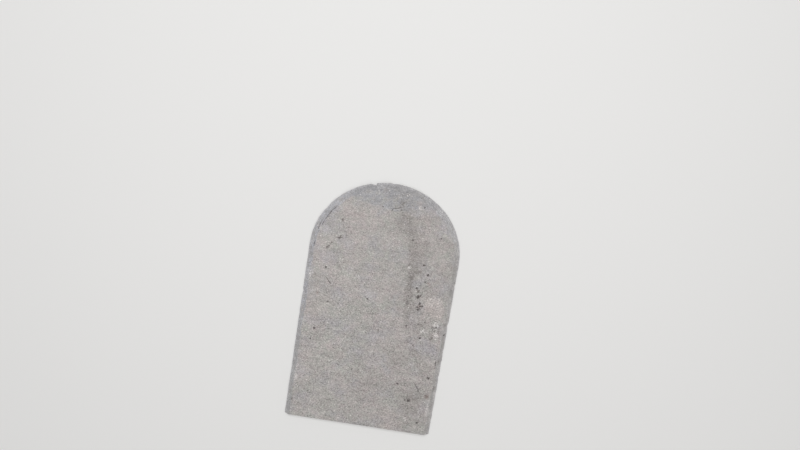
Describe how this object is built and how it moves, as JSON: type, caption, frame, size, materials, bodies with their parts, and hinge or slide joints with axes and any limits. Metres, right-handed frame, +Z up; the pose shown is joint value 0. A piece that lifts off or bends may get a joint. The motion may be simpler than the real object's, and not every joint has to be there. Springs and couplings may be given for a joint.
{
  "type": "slate roof tile",
  "caption": "Hand-dressed roofing slate with a square sawn head, straight sides and a half-round tail, its upper arris flaked to a scalloped bevel.",
  "frame": {"origin": "middle of the outline's box on the bed face, so the slate lies on the floor at z = 0", "axes": "+Y along the slate from the sawn head to the half-round tail, +X across it to the right, +Z up out of the weather face"},
  "size_m": [0.2, 0.35, 0.008],
  "materials": {
    "slate": "riven, matt, warm grey with faint brown and blue-grey patches"
  },
  "bodies": {
    "root": {"slate": "slate"}
  },
  "joints": []
}
